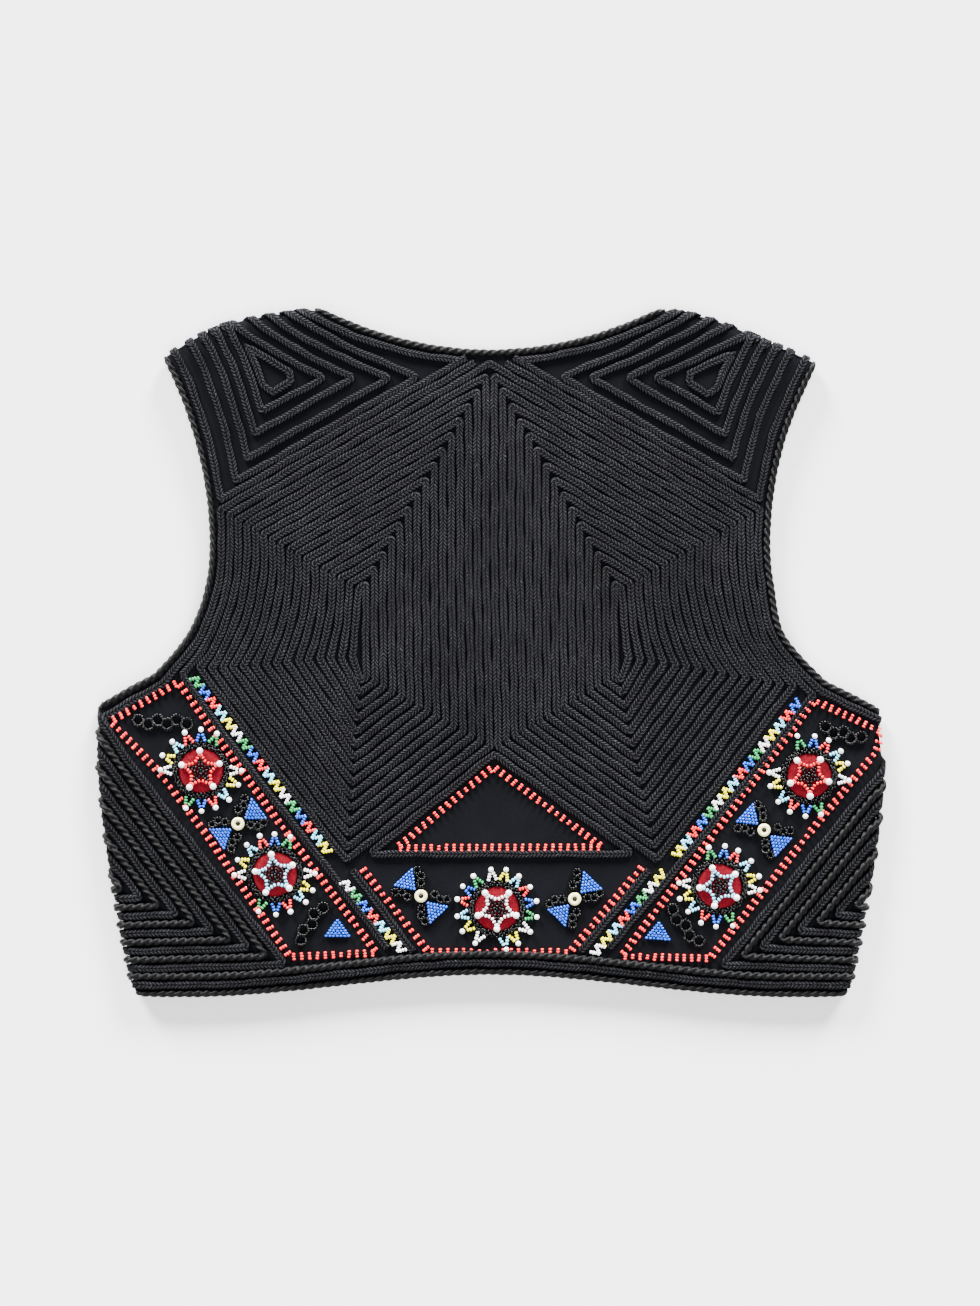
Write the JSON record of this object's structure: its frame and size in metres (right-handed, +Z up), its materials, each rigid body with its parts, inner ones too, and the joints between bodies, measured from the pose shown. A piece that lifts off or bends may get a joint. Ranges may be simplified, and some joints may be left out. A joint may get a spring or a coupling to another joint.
{
  "type": "corded and beaded folk vest laid flat",
  "caption": "Short sleeveless folk vest lying back up, covered with sewn black cords in nested figures, with bead stars, zigzags and bow ties on bare bands of cloth.",
  "frame": {"origin": "middle of the bounding box, at the surface that the vest lies on", "axes": "+Z up through the back, away from the surface; +Y from the hem to the neck; +X across the vest, to the right as seen from above"},
  "size_m": [0.4738, 0.4142, 0.0093],
  "materials": {
    "braided_cord": "matte charcoal cotton braid",
    "wool_cloth": "matte black wool cloth",
    "twisted_cord": "black twisted cord with a low sheen",
    "red_felt": "matte dark red felt"
  },
  "bodies": {
    "root": {"back": "braided_cord", "side_left": "braided_cord", "side_right": "braided_cord", "front_left": "wool_cloth", "front_right": "wool_cloth", "neck_edging": "twisted_cord", "armhole_edging_left": "twisted_cord", "armhole_edging_right": "twisted_cord", "hem_edging": "twisted_cord", "disc_middle": "red_felt", "disc_left_upper": "red_felt", "disc_left_lower": "red_felt", "disc_right_upper": "red_felt", "disc_right_lower": "red_felt"}
  },
  "joints": []
}
